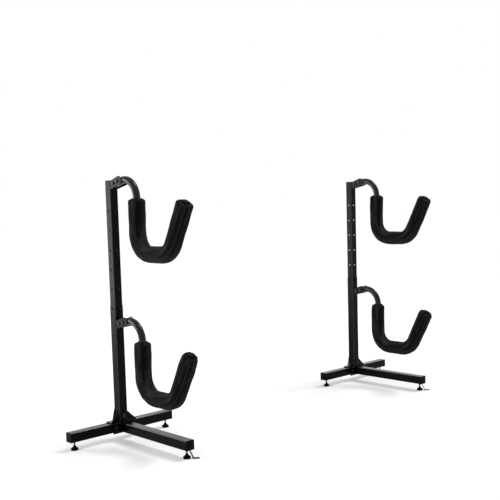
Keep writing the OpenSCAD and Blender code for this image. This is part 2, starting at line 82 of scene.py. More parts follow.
WASHER_T = 1.6 * MM
WASHER_RIM = 2 * MM
BOLT_TAIL = 2 * MM
# Diameter, width across the flats, thread pitch
BIG_BOLT = (10 * MM, 17 * MM, 1.5 * MM)
ARM_BOLT = (8 * MM, 13 * MM, 1.25 * MM)
STUD = (8 * MM, 13 * MM, 1.25 * MM)

CAP_T = 3 * MM
CAP_DEPTH = 14 * MM
TUBE_CORNER = 4 * MM

# Weld beads, which the source leaves out
WELD_R = 1.9 * MM
BOSS_WELD_R = 1.5 * MM

TO_BACK = Matrix.Rotation(math.radians(-90), 4, "X")
TO_RIGHT = Matrix.Rotation(math.radians(90), 4, "Y")


# ---- Camera, light and floor ----

def post_centre(side):
    low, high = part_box(f"{side}_upper_post")
    return Vector(((low.x + high.x) / 2, (low.y + high.y) / 2, 0))


def add_camera():
    """Camera fitted to the posts, beams and sleeves of the photograph."""
    from_left_post = Vector((-2.4306, -3.661, 1.2015))
    heading = math.radians(-44.459)
    dip = math.radians(5.091)
    roll = math.radians(-1.503)
    look = Vector((
        -math.sin(heading) * math.cos(dip), math.cos(heading) * math.cos(dip), -math.sin(dip)
    ))
    level = Vector((math.cos(heading), math.sin(heading), 0))
    above = level.cross(look)
    right = level * math.cos(roll) + above * math.sin(roll)
    up = above * math.cos(roll) - level * math.sin(roll)
    data = bpy.data.cameras.new("camera")
    data.sensor_width = 36
    data.lens = 59.31
    data.shift_x = -0.0464
    data.shift_y = 0.0636
    camera = bpy.data.objects.new("camera", data)
    turned = Matrix((right, up, -look)).transposed().to_4x4()
    camera.matrix_world = Matrix.Translation(post_centre("left") + from_left_post) @ turned
    bpy.context.scene.collection.objects.link(camera)
    bpy.context.scene.camera = camera


def wired(tree, kind, place=None, **settings):
    """A new node with its settings; place maps input names to values or sockets."""
    made = tree.nodes.new(kind)
    for name, value in settings.items():
        setattr(made, name, value)
    for name, value in (place or {}).items():
        socket = made.inputs[name]
        if isinstance(value, bpy.types.NodeSocket):
            tree.links.new(value, socket)
        else:
            socket.default_value = value
    return made


def seen_directly(tree):
    """1 for camera, glossy and transmission rays, so that metal shows the background too."""
    path = wired(tree, "ShaderNodeLightPath")
    shiny = wired(tree, "ShaderNodeMath", {
        0: path.outputs["Is Glossy Ray"], 1: path.outputs["Is Transmission Ray"]
    }, operation="MAXIMUM")
    return wired(tree, "ShaderNodeMath", {
        0: path.outputs["Is Camera Ray"], 1: shiny.outputs[0]
    }, operation="MAXIMUM").outputs[0]


def add_world():
    ambient = 0.5
    world = bpy.data.worlds.new("studio")
    world.use_nodes = True
    tree = world.node_tree
    tree.nodes.clear()
    light = wired(tree, "ShaderNodeBackground", {"Color": (1, 1, 1, 1), "Strength": ambient})
    white = wired(tree, "ShaderNodeBackground", {"Color": (1, 1, 1, 1), "Strength": 1})
    mix = wired(tree, "ShaderNodeMixShader", {
        0: seen_directly(tree), 1: light.outputs[0], 2: white.outputs[0]
    })
    wired(tree, "ShaderNodeOutputWorld", {"Surface": mix.outputs[0]})
    bpy.context.scene.world = world


def add_lamp(name, kind, place, target, energy, **settings):
    data = bpy.data.lights.new(name, kind)
    data.energy = energy
    for key, value in settings.items():
        setattr(data, key, value)
    lamp = bpy.data.objects.new(name, data)
    lamp.location = place
    lamp.rotation_euler = (Vector(target) - Vector(place)).to_track_quat("-Z", "Y").to_euler()
    lamp.visible_camera = False
    bpy.context.scene.collection.objects.link(lamp)


def add_lamps():
    middle = (0, 0, 0.7)
    add_lamp("key", "SUN", (2.2, -0.9, 4.4), middle, 1.5, angle=math.radians(22))
    add_lamp("side", "AREA", (-3.9, 3.6, 1.3), middle, 110,
             shape="RECTANGLE", size=2.4, size_y=2.4)
    add_lamp("rim", "AREA", (3.2, 3.7, 1.2), (0, 0, 0.2), 20,
             shape="RECTANGLE", size=5.5, size_y=1.3)


def add_floor():
    """White to the camera with the rack's shadow on it, and dim as a source of light."""
    half_width = 60
    bm = bmesh.new()
    bmesh.ops.create_grid(bm, x_segments=1, y_segments=1, size=half_width)
    mesh = bpy.data.meshes.new("floor")
    bm.to_mesh(mesh)
    bm.free()
    floor = bpy.data.objects.new("floor", mesh)
    material = bpy.data.materials.new("pale_floor")
    material.use_nodes = True
    tree = material.node_tree
    tree.nodes.clear()
    pale = wired(tree, "ShaderNodeBsdfDiffuse", {"Color": (0.86, 0.86, 0.86, 1)})
    glow = wired(tree, "ShaderNodeEmission", {"Color": (1, 1, 1, 1), "Strength": 0.26})
    both = wired(tree, "ShaderNodeAddShader", {0: pale.outputs[0], 1: glow.outputs[0]})
    bounce = wired(tree, "ShaderNodeBsdfDiffuse", {"Color": (0.35, 0.35, 0.35, 1)})
    mix = wired(tree, "ShaderNodeMixShader", {
        0: seen_directly(tree), 1: bounce.outputs[0], 2: both.outputs[0]
    })
    wired(tree, "ShaderNodeOutputMaterial", {"Surface": mix.outputs[0]})
    mesh.materials.append(material)
    bpy.context.scene.collection.objects.link(floor)


# ---- Shader groups ----

def new_group(name, inputs, outputs):
    """A shader node group; inputs are (name, default) values, outputs are (name, socket type)."""
    tree = bpy.data.node_groups.new(name, "ShaderNodeTree")
    for label, value in inputs:
        kind = "NodeSocketVector" if label == "Vector" else "NodeSocketFloat"
        socket = tree.interface.new_socket(label, in_out="INPUT", socket_type=kind)
        if value is not None:
            socket.default_value = value
    for label, kind in outputs:
        tree.interface.new_socket(label, in_out="OUTPUT", socket_type=kind)
    return tree, wired(tree, "NodeGroupInput").outputs, wired(tree, "NodeGroupOutput").inputs


def maths(tree, operation, *values, clamp=False):
    place = dict(enumerate(values))
    return wired(tree, "ShaderNodeMath", place, operation=operation, use_clamp=clamp).outputs[0]


def edge_wear_group():
    """Mask of outer edges where paint lies thin, broken up by noise."""
    tree, given, result = new_group(
        "edge_wear", [("Width", 0.0012), ("Amount", 1.0)], [("Mask", "NodeSocketFloat")]
    )
    soft = wired(tree, "ShaderNodeBevel", {"Radius": given["Width"]}, samples=4)
    plain = wired(tree, "ShaderNodeNewGeometry")
    dot = wired(tree, "ShaderNodeVectorMath", {
        0: soft.outputs[0], 1: plain.outputs["Normal"]
    }, operation="DOT_PRODUCT")
    bent = maths(tree, "SUBTRACT", 1.0, dot.outputs["Value"])
    sharpness = 5.0
    strong = maths(tree, "MULTIPLY", bent, sharpness, clamp=True)
    place = wired(tree, "ShaderNodeTexCoord")
    grain = wired(tree, "ShaderNodeTexNoise", {
        "Vector": place.outputs["Object"], "Scale": 60.0, "Detail": 4.0
    })
    broken = maths(tree, "MULTIPLY", strong, grain.outputs[0])
    tree.links.new(maths(tree, "MULTIPLY", broken, given["Amount"]), result["Mask"])
    return tree


def orange_peel_group():
    """Ripple of sprayed powder: its height, a mask of clouds and a mask of dust specks."""
    tree, given, result = new_group(
        "orange_peel", [("Grain", 420.0), ("Cloud", 9.0)],
        [(label, "NodeSocketFloat") for label in ("Height", "Cloud", "Speck")],
    )
    place = wired(tree, "ShaderNodeTexCoord").outputs["Object"]
    peel = wired(tree, "ShaderNodeTexNoise", {
        "Vector": place, "Scale": given["Grain"], "Detail": 2.0
    })
    cloud = wired(tree, "ShaderNodeTexNoise", {
        "Vector": place, "Scale": given["Cloud"], "Detail": 5.0
    })
    speck = wired(tree, "ShaderNodeTexVoronoi", {"Vector": place, "Scale": 700.0})
    speck_size = 0.12
    few = maths(tree, "LESS_THAN", speck.outputs["Distance"], speck_size)
    rare = wired(tree, "ShaderNodeTexNoise", {"Vector": place, "Scale": 35.0, "Detail": 2.0})
    dust_free = 0.6
    dusty = maths(tree, "GREATER_THAN", rare.outputs[0], dust_free)
    tree.links.new(peel.outputs[0], result["Height"])
    tree.links.new(cloud.outputs[0], result["Cloud"])
    tree.links.new(maths(tree, "MULTIPLY", few, dusty), result["Speck"])
    return tree


def rounded_corner_group():
    """Mask of a square tube's rounded corners, where the powder flows to a glossy film."""
    tree, _, result = new_group("rounded_corners", [], [("Mask", "NodeSocketFloat")])
    normal = wired(tree, "ShaderNodeTexCoord").outputs["Normal"]
    size = wired(tree, "ShaderNodeVectorMath", {0: normal}, operation="ABSOLUTE").outputs[0]
    apart = wired(tree, "ShaderNodeSeparateXYZ", {0: size})
    most = maths(tree, "MAXIMUM", maths(tree, "MAXIMUM", apart.outputs[0], apart.outputs[1]),
                 apart.outputs[2])
    still_flat, sharpness = 0.985, 9.0
    off_axis = maths(tree, "SUBTRACT", still_flat, most)
    tree.links.new(maths(tree, "MULTIPLY", off_axis, sharpness, clamp=True), result["Mask"])
    return tree


def weave_group():
    """Twill cloth on (along, around) metres: thread height and thread tone."""
    tree, given, result = new_group(
        "twill_weave", [("Vector", None), ("Pitch", 0.0016)],
        [("Height", "NodeSocketFloat"), ("Tone", "NodeSocketFloat")],
    )
    pitch = wired(tree, "ShaderNodeCombineXYZ", dict.fromkeys("XYZ", given["Pitch"]))
    scaled = wired(tree, "ShaderNodeVectorMath", {
        0: given["Vector"], 1: pitch.outputs[0]
    }, operation="DIVIDE")
    apart = wired(tree, "ShaderNodeSeparateXYZ", {0: scaled.outputs[0]})
    along, around = apart.outputs["X"], apart.outputs["Y"]
    diagonal = maths(tree, "ADD", along, around)
    ridge = maths(tree, "SINE", maths(tree, "MULTIPLY", diagonal, math.pi))
    threads = maths(tree, "SINE", maths(tree, "MULTIPLY", around, TURN))
    crossing = maths(tree, "SINE", maths(tree, "MULTIPLY", along, TURN))
    fine = maths(tree, "MULTIPLY", maths(tree, "MULTIPLY", threads, crossing), 0.4)
    height = maths(tree, "ADD", maths(tree, "ABSOLUTE", ridge), fine)
    tree.links.new(height, result["Height"])
    tree.links.new(maths(tree, "MULTIPLY_ADD", ridge, 0.5, 0.5), result["Tone"])
    return tree


# ---- Materials ----

def new_material(name, **settings):
    """A material, its node tree and the shader's inputs, with the settings made on them."""
    material = bpy.data.materials.new(name)
    material.use_nodes = True
    tree = material.node_tree
    shader = tree.nodes["Principled BSDF"]
    for key, value in settings.items():
        shader.inputs[key.replace("_", " ")].default_value = value
    return material, tree, shader.inputs


def mixed(tree, factor, first, second):
    """Colour mix of two plain colours or sockets."""
    mix = wired(tree, "ShaderNodeMix", data_type="RGBA")
    for index, value in ((0, factor), (6, first), (7, second)):
        if isinstance(value, bpy.types.NodeSocket):
            tree.links.new(value, mix.inputs[index])
        else:
            mix.inputs[index].default_value = value
    return mix.outputs[2]


def grey(value, blue=1.0):
    return (value, value, value * blue, 1)


def bump(tree, height, distance, strength=1.0, under=None):
    place = {"Height": height, "Distance": distance, "Strength": strength}
    if under is not None:
        place["Normal"] = under
    return wired(tree, "ShaderNodeBump", place).outputs[0]


def powder_coat(name, peel, wear, corners=None, film=0.0):
    """Black powder coat; the glossy film lies on the rounded corners or, evenly, on all of it."""
    material, tree, shader = new_material(
        name, IOR=1.5, Specular_IOR_Level=0.06, Coat_Weight=film, Coat_Roughness=0.18
    )
    if corners:
        glossy = wired(tree, "ShaderNodeGroup", node_tree=corners)
        tree.links.new(glossy.outputs["Mask"], shader["Coat Weight"])
    coat = wired(tree, "ShaderNodeGroup", node_tree=peel)
    edges = wired(tree, "ShaderNodeGroup", {"Width": 0.0015, "Amount": 0.8}, node_tree=wear)
    base = mixed(tree, coat.outputs["Cloud"], grey(0.0015), grey(0.0035, 1.1))
    speckled = mixed(tree, maths(tree, "MULTIPLY", coat.outputs["Speck"], 0.3), base, grey(0.03))
    worn = mixed(tree, edges.outputs["Mask"], speckled, grey(0.03, 1.05))
    tree.links.new(worn, shader["Base Color"])
    rough = maths(tree, "MULTIPLY_ADD", coat.outputs["Cloud"], 0.14, 0.16)
    tree.links.new(rough, shader["Roughness"])
    tree.links.new(bump(tree, coat.outputs["Height"], 0.00002), shader["Normal"])
    return material


def moulded_plastic(peel):
    material, tree, shader = new_material(
        "moulded_plastic", IOR=1.46, Specular_IOR_Level=0.05
    )
    grain = wired(tree, "ShaderNodeGroup", {"Grain": 1600.0, "Cloud": 20.0}, node_tree=peel)
    tree.links.new(
        mixed(tree, grain.outputs["Cloud"], grey(0.001), grey(0.003)), shader["Base Color"]
    )
    rough = maths(tree, "MULTIPLY_ADD", grain.outputs["Cloud"], 0.2, 0.42)
    tree.links.new(rough, shader["Roughness"])
    tree.links.new(bump(tree, grain.outputs["Height"], 0.00003), shader["Normal"])
    return material


def black_steel(peel, wear):
    material, tree, shader = new_material("black_plated_steel", Metallic=0.7)
    fine = wired(tree, "ShaderNodeGroup", {"Grain": 900.0, "Cloud": 60.0}, node_tree=peel)
    edges = wired(tree, "ShaderNodeGroup", {"Width": 0.0006, "Amount": 1.4}, node_tree=wear)
    base = mixed(tree, fine.outputs["Cloud"], grey(0.01), grey(0.028, 1.1))
    tree.links.new(mixed(tree, edges.outputs["Mask"], base, grey(0.2)), shader["Base Color"])
    rough = maths(tree, "MULTIPLY_ADD", fine.outputs["Cloud"], 0.2, 0.28)
    tree.links.new(rough, shader["Roughness"])
    tree.links.new(bump(tree, fine.outputs["Height"], 0.00002), shader["Normal"])
    return material


def sleeve_fabric(weave, name, dark, pale):
    """Twill on the sleeve's own lines: threads, painted sheen streaks along it and soft creases.
    """
    material, tree, shader = new_material(
        name, Specular_IOR_Level=0.04, Sheen_Weight=0.02, Sheen_Roughness=0.4
    )
    wrap = wired(tree, "ShaderNodeAttribute", attribute_name="wrap")
    apart = wired(tree, "ShaderNodeSeparateXYZ", {0: wrap.outputs["Vector"]})
    angle = maths(tree, "ARCTAN2", apart.outputs["Z"], apart.outputs["Y"])
    around = maths(tree, "MULTIPLY", angle, SLEEVE_R)
    cloth = wired(tree, "ShaderNodeCombineXYZ", {"X": apart.outputs["X"], "Y": around})
    threads = wired(tree, "ShaderNodeGroup", {
        "Vector": cloth.outputs[0], "Pitch": 0.0022
    }, node_tree=weave)
    place = wired(tree, "ShaderNodeTexCoord").outputs["Object"]
    long_and_thin = (7.0, 60.0, 60.0)
    drawn = wired(tree, "ShaderNodeVectorMath", {
        0: wrap.outputs["Vector"], 1: long_and_thin
    }, operation="MULTIPLY")
    streak = wired(tree, "ShaderNodeTexNoise", {
        "Vector": drawn.outputs[0], "Scale": 1.0, "Detail": 4.0, "Roughness": 0.6
    })
    fuzz = wired(tree, "ShaderNodeTexNoise", {"Vector": place, "Scale": 260.0, "Detail": 3.0})
    # Painted sheen: the streak noise lightens the base colour in long streaks along the sleeve, in
    # place of the cloth's sheen.
    painted_sheen = maths(tree, "MULTIPLY_ADD", streak.outputs[0], 5.2, -2.3, clamp=True)
    base = mixed(tree, painted_sheen, grey(dark), grey(pale, 1.06))
    light = maths(tree, "MULTIPLY", threads.outputs["Tone"], 0.22)
    lit = mixed(tree, light, base, grey(pale * 1.4, 1.04))
    tree.links.new(lit, shader["Base Color"])
    rough = maths(tree, "MULTIPLY_ADD", fuzz.outputs[0], 0.3, 0.5)
    tree.links.new(rough, shader["Roughness"])
    crease = wired(tree, "ShaderNodeTexNoise", {
        "Vector": place, "Scale": 38.0, "Detail": 3.0, "Distortion": 0.6
    })
    pulled = bump(tree, streak.outputs[0], 0.007, 0.8)
    folds = bump(tree, crease.outputs[0], 0.0036, 0.7, pulled)
    woven = bump(tree, threads.outputs["Height"], 0.0003, 0.7, folds)
    tree.links.new(woven, shader["Normal"])
    return material


# ---- Mesh helpers ----

def finish_piece(name, bm, material, body, sharp=35):
    """Makes the bmesh a piece of a body, smooth but for its edges over the sharp angle."""
    bmesh.ops.remove_doubles(bm, verts=bm.verts, dist=1e-6)
    bmesh.ops.recalc_face_normals(bm, faces=bm.faces)
    mesh = bpy.data.meshes.new(name)
    bm.to_mesh(mesh)
    bm.free()
    mesh.shade_smooth()
    mesh.set_sharp_from_angle(angle=math.radians(sharp))
    mesh.materials.append(material)
    piece = bpy.data.objects.new(name, mesh)
    bpy.context.scene.collection.objects.link(piece)
    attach(piece, body)
    return piece


def joined(bm, part, matrix):
    """Adds a bmesh to another one, moved by the matrix."""
    part.transform(matrix)
    if matrix.to_3x3().determinant() < 0:
        bmesh.ops.reverse_faces(part, faces=part.faces)
    mesh = bpy.data.meshes.new("part")
    part.to_mesh(mesh)
    part.free()
    bm.from_mesh(mesh)
    bpy.data.meshes.remove(mesh)


def lathe(profile, steps=40):
    """Turns (radius, height) points round Z."""
    bm = bmesh.new()
    verts = [bm.verts.new((radius, 0, height)) for radius, height in profile]
    edges = [bm.edges.new(pair) for pair in zip(verts, verts[1:])]
    bmesh.ops.spin(
        bm, geom=verts + edges, cent=(0, 0, 0), axis=(0, 0, 1), angle=TURN, steps=steps,
        use_merge=True, use_duplicate=False,
    )
    bmesh.ops.remove_doubles(bm, verts=bm.verts, dist=1e-6)
    bmesh.ops.recalc_face_normals(bm, faces=bm.faces)
    return bm


def edges_among(bm, verts):
    verts = set(verts)
    return [e for e in bm.edges if e.verts[0] in verts and e.verts[1] in verts]


def hex_block(across, height, chamfered=(True, True)):
    """Hexagonal head or nut from 0 up, with the turned chamfers at its ends."""
    corner = across / math.sqrt(3)
    inner = across / 2 * 0.97
    chamfer_slope = 0.55
    drop = (corner - inner) * chamfer_slope
    levels = [(0, inner if chamfered[0] else corner)]
    if chamfered[0]:
        levels.append((drop, corner))
    if chamfered[1]:
        levels.append((height - drop, corner))
    levels.append((height, inner if chamfered[1] else corner))
    bm = bmesh.new()
    segments = 36
    made = bmesh.ops.create_circle(bm, cap_ends=True, segments=segments, radius=corner)
    ring = set(made["verts"])
    bmesh.ops.reverse_faces(bm, faces=bm.faces)
    for index, (z, limit) in enumerate(levels):
        if index:
            grown = bmesh.ops.extrude_edge_only(bm, edges=edges_among(bm, ring))["geom"]
            ring = {v for v in grown if isinstance(v, bmesh.types.BMVert)}
        for v in ring:
            angle = math.atan2(v.co.y, v.co.x)
            off_flat = (angle + TURN / 12) % (TURN / 6) - TURN / 12
            flat = across / 2 / math.cos(TURN / 12 - abs(off_flat))
            radius = min(flat, limit)
            v.co = Vector((radius * math.cos(angle), radius * math.sin(angle), z))
    bmesh.ops.edgeloop_fill(bm, edges=edges_among(bm, ring))
    return bm


def threaded_rod(diameter, length, pitch):
    """Rod from 0 up with thread grooves and a plain tip of the thread's inner width."""
    crest = diameter / 2
    root = crest - 0.55 * pitch
    points = [(0, 0), (root, 0)]
    turns = int(length / pitch)
    for i in range(turns):
        points += [
            (root, i * pitch + 0.1 * pitch), (crest, i * pitch + 0.45 * pitch),
            (crest, i * pitch + 0.65 * pitch), (root, i * pitch + pitch),
        ]
    points[-3:] = [(root, turns * pitch - 0.3 * pitch), (root, length), (0, length)]
    return lathe(points, 24)


def washer(inner, outer, thickness):
    """Washer from 0 up with its outer edges broken."""
    edge = 0.25 * thickness
    return lathe([
        (inner, 0), (outer - edge, 0), (outer, edge), (outer, thickness - edge),
        (outer - edge, thickness), (inner, thickness), (inner, 0),
    ], 32)


def bolt_set(size, length):
    """Bolt, washers and nut along +Z; the head's top is at 0 and the tail ends at length."""
    diameter, across, pitch = size
    head = diameter * HEAD_RATIO
    nut = diameter * NUT_RATIO
    nut_low = length - BOLT_TAIL - nut
    radius = diameter / 2
    rim = across / 2 + WASHER_RIM
    at_nut = Matrix.Translation((0, 0, nut_low))
    bm = bmesh.new()
    joined(bm, hex_block(across, head, (True, False)), Matrix.Identity(4))
    joined(bm, washer(radius, rim, WASHER_T), Matrix.Translation((0, 0, head)))
    shank = lathe([
        (0, head), (radius, head), (radius, nut_low), (radius - 0.5 * pitch, nut_low), (0, nut_low)
    ], 24)
    joined(bm, shank, Matrix.Identity(4))
    joined(bm, washer(radius, rim, WASHER_T), Matrix.Translation((0, 0, nut_low - WASHER_T)))
    joined(bm, hex_block(across, nut), at_nut)
    joined(bm, threaded_rod(diameter, nut + BOLT_TAIL, pitch), at_nut)
    return bm


def ring_stack(bm, frames, unit, closed=False):
    """Skins one ring per frame; unit holds each ring's flat points. Closed leaves the ends."""
    ring = first = bmesh.ops.create_circle(bm, segments=len(unit[0]), radius=1)["verts"]
    for index, at in enumerate(frames):
        if index:
            grown = bmesh.ops.extrude_edge_only(bm, edges=edges_among(bm, ring))["geom"]
            fresh = {v for v in grown if isinstance(v, bmesh.types.BMVert)}
            ring = [next(e.other_vert(v) for e in v.link_edges if e.other_vert(v) in fresh)
                    for v in ring]
        for v, co in zip(ring, unit[index]):
            v.co = at @ Vector((co[0], co[1], 0))
    if not closed:
        for ends in (first, ring):
            bmesh.ops.edgeloop_fill(bm, edges=edges_among(bm, ends))


def along_path(points, spacing):
    """Evenly spaced frames along a polyline, with Z along it."""
    frames = []
    for start, end in zip(points, points[1:]):
        way = end - start
        count = max(2, round(way.length / spacing))
        turned = way.to_track_quat("Z", "Y").to_matrix().to_4x4()
        last = end is points[-1]
        for i in range(count + (1 if last else 0)):
            frames.append(Matrix.Translation(start + way * (i / count)) @ turned)
    return frames


def weld_bead(bm, points, radius=WELD_R):
    """A weld run of overlapping ripples along a polyline, tapered at both ends."""
    spacing = 0.9 * MM
    rings_per_ripple = 4.3
    frames = along_path(points, spacing)
    last = len(frames) - 1
    steps = 10
    unit = []
    for i in range(len(frames)):
        taper = min(1, 0.35 + 0.3 * min(i, last - i))
        ripple = 1 + 0.13 * math.sin(i * TURN / rings_per_ripple)
        drift = 0.12 * radius * math.sin(i * 0.37)
        size = radius * taper * ripple
        unit.append([
            (size * math.cos(TURN * k / steps) + drift, size * math.sin(TURN * k / steps))
            for k in range(steps)
        ])
    part = bmesh.new()
    ring_stack(part, frames, unit)
    bmesh.ops.recalc_face_normals(part, faces=part.faces)
    joined(bm, part, Matrix.Identity(4))


# ---- Fasteners ----

def bolts_along_y(side, node, size, name, places):
    """Bolt sets with their heads to the front, on the box of the node that they replace."""
    low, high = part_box(f"{side}_{node}")
    rim = size[1] / 2 + WASHER_RIM
    middle = (low.z + high.z) / 2
    bm = bmesh.new()
    for x in ([low.x + rim, high.x - rim] if places == 2 else [(low.x + high.x) / 2]):
        at = Matrix.Translation((x, low.y, middle))
        joined(bm, bolt_set(size, high.y - low.y), at @ TO_BACK)
    piece = finish_piece(f"{side}_{name}", bm, STEEL, f"{side}_stand", 30)
    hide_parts(f"{side}_{node}")


def arm_bolts(side, level, body):
    """The two bolts through the ears, the rear one low and the front one high."""
    low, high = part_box(f"{side}_{level}_arm_bolts")
    rim = ARM_BOLT[1] / 2 + WASHER_RIM
    bm = bmesh.new()
    for y, z in ((high.y - rim, low.z + rim), (low.y + rim, high.z - rim)):
        at = Matrix.Translation((low.x, y, z))
        joined(bm, bolt_set(ARM_BOLT, high.x - low.x), at @ TO_RIGHT)
    piece = finish_piece(f"{side}_{level}_arm_bolt_sets", bm, STEEL, body, 30)
    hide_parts(f"{side}_{level}_arm_bolts")


def leveller_places(side):
    """Name, centre and stud's top of each levelling foot."""
    for foot in ("outer", "inner", "front"):
        low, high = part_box(f"{side}_{foot}_leveller")
        yield foot, (low + high) / 2, high.z


def leveller_nuts(side):
    """A weld nut and a jam nut on each stud; the front jam nut is under the strap."""
    low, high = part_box(f"{side}_leveller_nuts")
    diameter, across, _ = STUD
    nut = diameter * NUT_RATIO
    bm = bmesh.new()
    for foot, centre, _ in leveller_places(side):
        jam = low.z if foot == "front" else low.z + STRAP_T
        for z in (jam, high.z - nut):
            joined(bm, hex_block(across, nut), Matrix.Translation((centre.x, centre.y, z)))
    piece = finish_piece(f"{side}_foot_nuts", bm, STEEL, f"{side}_stand", 30)
    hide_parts(f"{side}_leveller_nuts")


def foot_screws(side):
    """Countersunk screws with a socket, and their nuts inside the beam."""
    low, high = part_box(f"{side}_foot_screws")
    diameter = 6 * MM
    nut_across = 10.2 * MM
    head_r = diameter
    head_h = 3 * MM
    land = 0.3 * MM
    length = high.z - low.z
    y = (low.y + high.y) / 2
    bm = bmesh.new()
    for x in (low.x + head_r, high.x - head_r):
        screw = lathe([
            (0, 0), (diameter / 2, 0), (diameter / 2, length - head_h),
            (head_r, length - land), (head_r, length), (2.4 * MM, length),
            (2.2 * MM, length - 2.4 * MM), (0, length - 2.6 * MM),
        ], 30)
        joined(bm, screw, Matrix.Translation((x, y, low.z)))
        nut = hex_block(nut_across, diameter * NUT_RATIO)
        joined(bm, nut, Matrix.Translation((x, y, low.z + BOLT_TAIL)))
    piece = finish_piece(f"{side}_plate_screws", bm, STEEL, f"{side}_stand", 30)
    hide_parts(f"{side}_foot_screws")


# ---- Welds ----

def base_welds(side):
    """Runs round the leg at its plate, along both gussets and round the lock boss."""
    centre = post_centre(side)
    flange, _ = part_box(f"{side}_leg_flange")
    leg_low, leg_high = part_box(f"{side}_forward_leg")
    plate_low, plate_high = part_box(f"{side}_foot_bracket")
    post_low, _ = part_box(f"{side}_lower_post")
    boss_low, boss_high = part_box(f"{side}_lock_boss")
    bm = bmesh.new()
    inset = 3 * MM
    top, bottom = leg_high.z - inset, leg_low.z + inset
    round_leg = (
        (leg_low.x, top), (leg_low.x, bottom), (leg_low.x + inset, leg_low.z),
        (leg_high.x - inset, leg_low.z), (leg_high.x, bottom), (leg_high.x, top),
    )
    weld_bead(bm, [Vector((x, flange.y, z)) for x, z in round_leg])
    half = (plate_high.y - plate_low.y) / 2
    short = 2 * MM
    for way in (-1, 1):
        weld_bead(bm, [
            Vector((centre.x + way * (half + GUSSET_FRONT), centre.y - half + short, post_low.z)),
            Vector((centre.x + way * (half + GUSSET_REAR), centre.y + half - short, post_low.z)),
        ])
    middle = (boss_low + boss_high) / 2
    radius = (boss_high.x - boss_low.x) / 2
    steps = 24
    turns = [TURN * i / steps for i in range(steps + 1)]
    weld_bead(bm, [
        Vector((middle.x + radius * math.cos(a), boss_high.y, middle.z + radius * math.sin(a)))
        for a in turns
    ], BOSS_WELD_R)
    finish_piece(f"{side}_base_welds", bm, COAT, f"{side}_stand", 60)


def bracket_welds(side, level, body):
    """Runs along all four edges of the arm bracket's back plate."""
    low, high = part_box(f"{side}_{level}_bracket")
    post = "lower_post" if level == "lower" else "upper_post"
    post_low, post_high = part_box(f"{side}_{post}")
    face = post_low.y
    back_low, back_high = low.z, low.z + BACK_PLATE_H
    half = (high.x - low.x) / 2
    x = (low.x + high.x) / 2
    reach = min(half, (post_high.x - post_low.x) / 2 - TUBE_CORNER)
    bm = bmesh.new()
    for z in (back_low, back_high):
        weld_bead(bm, [Vector((x - reach, face, z)), Vector((x + reach, face, z))])
    short = 2 * MM
    sunk = 0.6 * MM
    into_corner = 1.2 * MM if level == "upper" else 0
    for way in (-1, 1):
        side_x = x + way * (half - sunk)
        depth = face + into_corner
        weld_bead(bm, [
            Vector((side_x, depth, back_low + short)), Vector((side_x, depth, back_high - short))
        ])
    finish_piece(f"{side}_{level}_bracket_welds", bm, COAT, body, 60)


# ---- Moulded parts ----

def levelling_foot(side, foot, centre, top):
    """Cone foot with a rounded, stepped base and grip ribs, on its threaded stud."""
    low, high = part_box(f"{side}_{foot}_leveller")
    rim = (high.x - low.x) / 2
    neck, height, base = FOOT_NECK_R, FOOT_H, FOOT_BASE_H
    cone = lathe([
        (0, 0.6 * MM), (rim - 5.0 * MM, 0.6 * MM), (rim - 4.4 * MM, 0), (rim - 2.6 * MM, 0),
        (rim - 1.2 * MM, 0.6 * MM), (rim - 0.3 * MM, 1.9 * MM), (rim, 3.4 * MM),
        (rim, base - 3.8 * MM), (rim - 0.4 * MM, base - 2.1 * MM),
        (rim - 1.4 * MM, base - 0.8 * MM), (rim - 3.0 * MM, base - 0.1 * MM),
        (rim - 5.2 * MM, base + 0.4 * MM), (rim - 7.6 * MM, base + 2.0 * MM),
        (neck + 1.4 * MM, height - 7.6 * MM), (neck, height - 5.6 * MM), (neck, height - 0.9 * MM),
        (neck - 0.3 * MM, height - 0.3 * MM), (neck - 0.9 * MM, height), (0, height),
    ], 48)
    bm = bmesh.new()
    at = Matrix.Translation((centre.x, centre.y, low.z))
    joined(bm, cone, at)
    ribs = 8
    rib_size = (7.6 * MM, 1.4 * MM, 7 * MM)
    slope = 5 * MM
    for i in range(ribs):
        rib = bmesh.new()
        bmesh.ops.create_cube(rib, size=1)
        bmesh.ops.scale(rib, verts=rib.verts, vec=rib_size)
        outer_top = [v for v in rib.verts if v.co.x > 0 and v.co.z > 0]
        bmesh.ops.translate(rib, verts=outer_top, vec=(0, 0, -slope))
        bmesh.ops.bevel(
            rib, geom=rib.edges, offset=0.35 * MM, affect="EDGES", segments=2, profile=0.5,
            material=-1,
        )
        turn = Matrix.Rotation(i * TURN / ribs, 4, "Z")
        joined(bm, rib, at @ turn @ Matrix.Translation((neck + 2.9 * MM, 0, base + 3.5 * MM)))
    body = f"{side}_{foot}_leveller"
    moulded = finish_piece(f"{side}_{foot}_foot", bm, PLASTIC, body, 40)
    diameter, _, pitch = STUD
    inside = 2 * MM
    stud = bmesh.new()
    rod = threaded_rod(diameter, top - height + inside, pitch)
    joined(stud, rod, Matrix.Translation((centre.x, centre.y, height - inside)))
    finish_piece(f"{side}_{foot}_stud", stud, STEEL, body, 30)
    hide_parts(f"{side}_{foot}_leveller")


